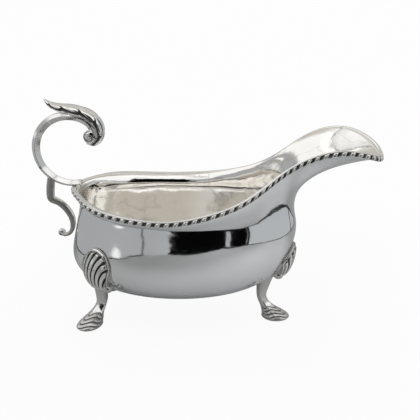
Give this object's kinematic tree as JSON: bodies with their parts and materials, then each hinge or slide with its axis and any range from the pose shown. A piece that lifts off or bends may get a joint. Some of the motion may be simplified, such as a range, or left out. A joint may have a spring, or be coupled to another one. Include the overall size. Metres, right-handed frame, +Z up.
{
  "type": "sauce boat",
  "caption": "Oval bellied sauce boat with a long drawn lip, gadroon rim border, flying scroll handle with a leaf cap, and cast feet with ribbed shell knees.",
  "frame": {"origin": "on the table, at the middle of the overall length and in the middle plane", "axes": "+X from the handle to the lip, +Y to the boat's left as one looks from the handle to the lip, +Z up"},
  "size_m": [0.1942, 0.0822, 0.1252],
  "materials": {
    "silver_bowl": "polished sterling silver sheet with fine wear scratches",
    "silver_border": "polished cast silver with darker hollows",
    "silver_handle": "polished cast silver with darker hollows",
    "silver_feet": "polished cast silver with darker hollows"
  },
  "bodies": {
    "root": {"bowl": "silver_bowl", "border_left": "silver_border", "border_right": "silver_border", "handle_scroll": "silver_handle", "handle_leaf": "silver_handle", "handle_bracket": "silver_handle", "front_leg": "silver_feet", "left_leg": "silver_feet", "right_leg": "silver_feet", "front_shell": "silver_feet", "left_shell": "silver_feet", "right_shell": "silver_feet"}
  },
  "joints": []
}
